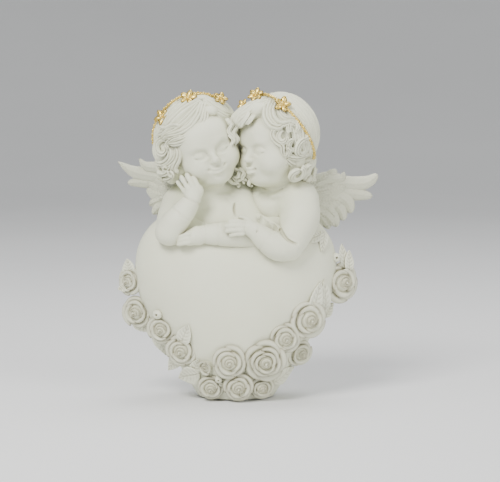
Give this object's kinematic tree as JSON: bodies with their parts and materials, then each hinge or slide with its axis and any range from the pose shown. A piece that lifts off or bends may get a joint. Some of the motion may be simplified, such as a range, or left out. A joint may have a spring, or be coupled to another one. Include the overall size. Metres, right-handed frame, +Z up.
{
  "type": "cherub figurine",
  "caption": "Matte white resin figurine: two winged cherubs lean on a puffed heart with a garland of roses and leaves round its lower rim.",
  "frame": {"origin": "middle of the flat foot that the figurine stands on", "axes": "+Z up, +X to the viewer's right, -Y towards the viewer, which is the way the cherubs and the heart's front face"},
  "size_m": [0.1488, 0.0643, 0.1779],
  "materials": {
    "heart_resin": "smooth matte cast resin, warm white",
    "figure_resin": "matte cast resin with darker wash in the hollows",
    "garland_resin": "matte cast resin with a beige wash between the petals",
    "gold_paint": "bright gold paint with a fine glitter",
    "felt": "thin pressed felt"
  },
  "bodies": {
    "root": {"base_felt": "felt", "flower_01": "gold_paint", "flower_02": "gold_paint", "flower_03": "gold_paint", "flower_04": "gold_paint", "flower_05": "gold_paint", "flower_06": "gold_paint", "heart_body": "heart_resin", "leaf_01": "garland_resin", "leaf_02": "garland_resin", "leaf_03": "garland_resin", "leaf_04": "garland_resin", "leaf_05": "garland_resin", "leaf_06": "garland_resin", "leaf_07": "garland_resin", "leaf_08": "garland_resin", "leaf_09": "garland_resin", "leaf_10": "garland_resin", "leaf_11": "garland_resin", "leaf_12": "garland_resin", "leaf_13": "garland_resin", "leaf_14": "garland_resin", "leaf_15": "garland_resin", "leaf_16": "garland_resin", "left_folded_arm": "figure_resin", "left_hair": "figure_resin", "left_head": "figure_resin", "left_headband": "gold_paint", "left_inner_wing": "figure_resin", "left_outer_wing": "figure_resin", "left_raised_arm": "figure_resin", "left_torso": "figure_resin", "pearl_01": "garland_resin", "pearl_02": "garland_resin", "pearl_03": "garland_resin", "right_far_arm": "figure_resin", "right_hair": "figure_resin", "right_head": "figure_resin", "right_headband": "gold_paint", "right_inner_wing": "figure_resin", "right_near_arm": "figure_resin", "right_outer_wing": "figure_resin", "right_torso": "figure_resin", "rose_01": "garland_resin", "rose_02": "garland_resin", "rose_03": "garland_resin", "rose_04": "garland_resin", "rose_05": "garland_resin", "rose_06": "garland_resin", "rose_07": "garland_resin", "rose_08": "garland_resin", "rose_09": "garland_resin", "rose_10": "garland_resin", "rose_11": "garland_resin", "rose_12": "garland_resin", "rose_13": "garland_resin", "rose_bud": "garland_resin"}
  },
  "joints": []
}
